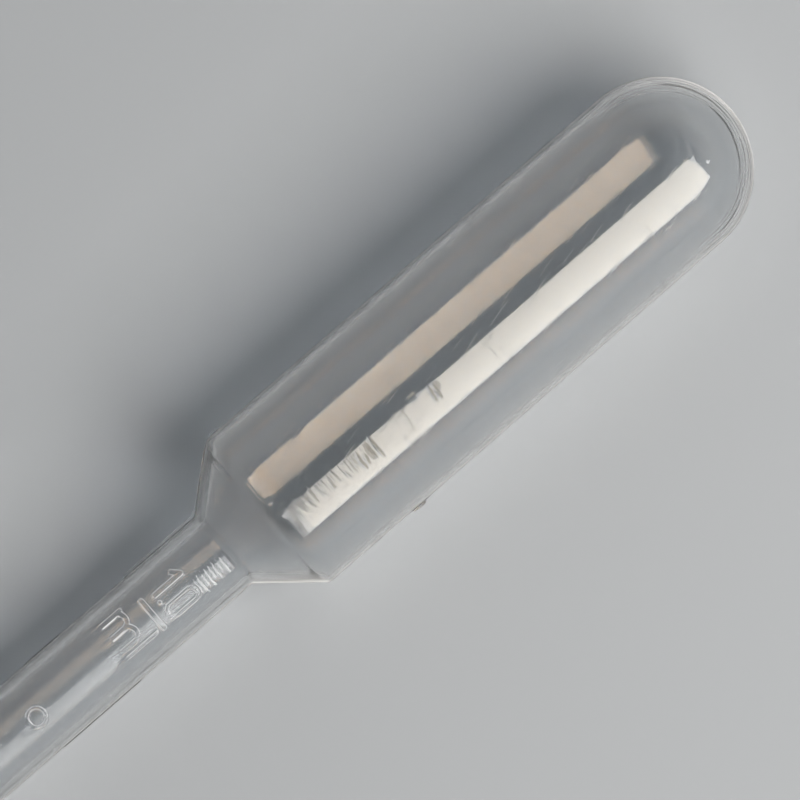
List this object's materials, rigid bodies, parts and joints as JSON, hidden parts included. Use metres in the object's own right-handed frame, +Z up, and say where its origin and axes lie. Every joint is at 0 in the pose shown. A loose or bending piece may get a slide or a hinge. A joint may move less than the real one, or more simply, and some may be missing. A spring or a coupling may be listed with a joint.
{
  "type": "dropper pipette",
  "caption": "Translucent squeeze-bulb dropper pipette with a conical shoulder, a long thin stem with raised volume marks, and a narrow tapered tip.",
  "frame": {"origin": "on the floor, under the middle of the pipette's box as it lies", "axes": "+X runs along the pipette from the tip towards the bulb, +Z is up, and the raised marks face up"},
  "size_m": [0.1471, 0.0124, 0.0134],
  "materials": {
    "polyethylene": "translucent natural low-density polyethylene with a soft gloss"
  },
  "bodies": {
    "root": {"pipette": "polyethylene"}
  },
  "joints": []
}
